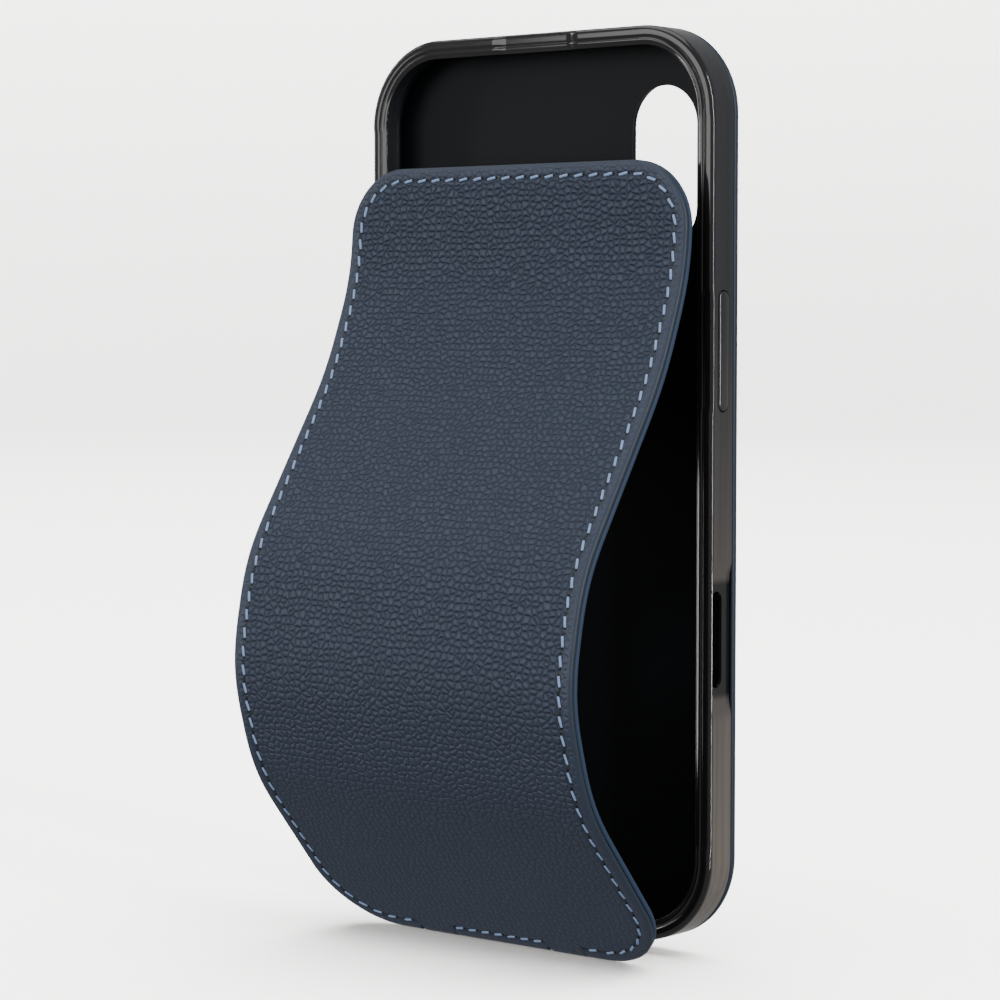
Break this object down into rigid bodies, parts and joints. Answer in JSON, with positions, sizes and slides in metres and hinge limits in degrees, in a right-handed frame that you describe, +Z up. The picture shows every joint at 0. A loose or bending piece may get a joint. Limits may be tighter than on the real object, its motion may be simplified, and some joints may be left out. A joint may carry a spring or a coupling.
{
  "type": "flip phone case",
  "caption": "Slim flip phone case: smoked rubber tray with a leather back, and a soft stitched leather flap hinged on tongues round its bottom edge.",
  "frame": {"origin": "on the ground, at the middle of the case's width and depth as it stands on its tongues", "axes": "+X to the right as seen from the front, +Y from the front to the back, +Z up the height of the tray"},
  "size_m": [0.0782, 0.0457, 0.1615],
  "materials": {
    "smoked_tpu": "smoked translucent thermoplastic rubber, satin, moulded",
    "navy_leather": "navy pebble-grain calf leather with smooth painted edges",
    "lining": "smooth dark navy lining leather",
    "thread": "light steel-blue waxed thread, lockstitch",
    "stiffener": "thin black fibre board",
    "magnet": "nickel-plated magnet"
  },
  "bodies": {
    "case": {"tray": "smoked_tpu", "back_stiffener": "stiffener", "back_leather": "navy_leather", "back_thread": "thread"},
    "power_button": {"power_pad": "smoked_tpu"},
    "volume_up_button": {"volume_up_pad": "smoked_tpu"},
    "volume_down_button": {"volume_down_pad": "smoked_tpu"},
    "action_button": {"action_pad": "smoked_tpu"},
    "spine": {"spine_leather": "navy_leather", "spine_lining": "lining"},
    "tongues": {"tongue_leather": "navy_leather", "tongue_lining": "lining"},
    "flap_1": {"flap_leather_1": "navy_leather", "flap_lining_1": "lining", "flap_thread_1": "thread"},
    "flap_2": {"flap_leather_2": "navy_leather", "flap_lining_2": "lining", "flap_thread_2": "thread"},
    "flap_3": {"flap_leather_3": "navy_leather", "flap_lining_3": "lining", "flap_thread_3": "thread"},
    "flap_4": {"flap_leather_4": "navy_leather", "flap_lining_4": "lining", "flap_thread_4": "thread"},
    "flap_5": {"flap_leather_5": "navy_leather", "flap_lining_5": "lining", "flap_thread_5": "thread"},
    "flap_6": {"flap_leather_6": "navy_leather", "flap_lining_6": "lining", "flap_thread_6": "thread", "flap_magnets": "magnet"}
  },
  "joints": [
    {"name": "flap_open", "type": "hinge", "parent": "case", "child": "spine", "pos_m": [0, 0.02211, 0.0011], "axis": [1, 0, 0], "range_deg": [0, 180]},
    {"name": "flap_close", "type": "hinge", "parent": "spine", "child": "tongues", "pos_m": [0, 0.01306, 0.0011], "axis": [-1, 0, 0], "range_deg": [0, 90]},
    {"name": "flap_fold", "type": "hinge", "parent": "tongues", "child": "flap_1", "pos_m": [0, 0.00659, 0.0011], "axis": [-1, 0, 0], "range_deg": [-52.22, 0]},
    {"name": "bend_1", "type": "hinge", "parent": "flap_1", "child": "flap_2", "pos_m": [0, -0.01706, 0.03128], "axis": [-1, 0, 0], "range_deg": [-24.34, 0]},
    {"name": "bend_2", "type": "hinge", "parent": "flap_2", "child": "flap_3", "pos_m": [0, -0.02168, 0.04974], "axis": [-1, 0, 0], "range_deg": [-26.72, 0]},
    {"name": "bend_3", "type": "hinge", "parent": "flap_3", "child": "flap_4", "pos_m": [0, -0.0176, 0.06833], "axis": [-1, 0, 0], "range_deg": [-22.4, 0]},
    {"name": "bend_4", "type": "hinge", "parent": "flap_4", "child": "flap_5", "pos_m": [0, 0.00412, 0.09996], "axis": [-1, 0, 0], "range_deg": [0, 11.94]},
    {"name": "bend_5", "type": "hinge", "parent": "flap_5", "child": "flap_6", "pos_m": [0, 0.01154, 0.11757], "axis": [-1, 0, 0], "range_deg": [0, 18.88]},
    {"name": "power_press", "type": "slide", "parent": "case", "child": "power_button", "axis": [-1, 0, 0], "range_m": [0, 0.0003], "stiffness_N_per_m": 150},
    {"name": "volume_up_press", "type": "slide", "parent": "case", "child": "volume_up_button", "axis": [1, 0, 0], "range_m": [0, 0.0003], "stiffness_N_per_m": 150},
    {"name": "volume_down_press", "type": "slide", "parent": "case", "child": "volume_down_button", "axis": [1, 0, 0], "range_m": [0, 0.0003], "stiffness_N_per_m": 150},
    {"name": "action_press", "type": "slide", "parent": "case", "child": "action_button", "axis": [1, 0, 0], "range_m": [0, 0.0003], "stiffness_N_per_m": 150}
  ],
  "couplings": [
    {"joint": "flap_fold", "follows": "flap_close", "ratio": -0.57685},
    {"joint": "bend_1", "follows": "flap_close", "ratio": -0.26714},
    {"joint": "bend_2", "follows": "flap_close", "ratio": -0.29357},
    {"joint": "bend_3", "follows": "flap_close", "ratio": -0.24552},
    {"joint": "bend_4", "follows": "flap_close", "ratio": 0.12929},
    {"joint": "bend_5", "follows": "flap_close", "ratio": 0.20647}
  ]
}
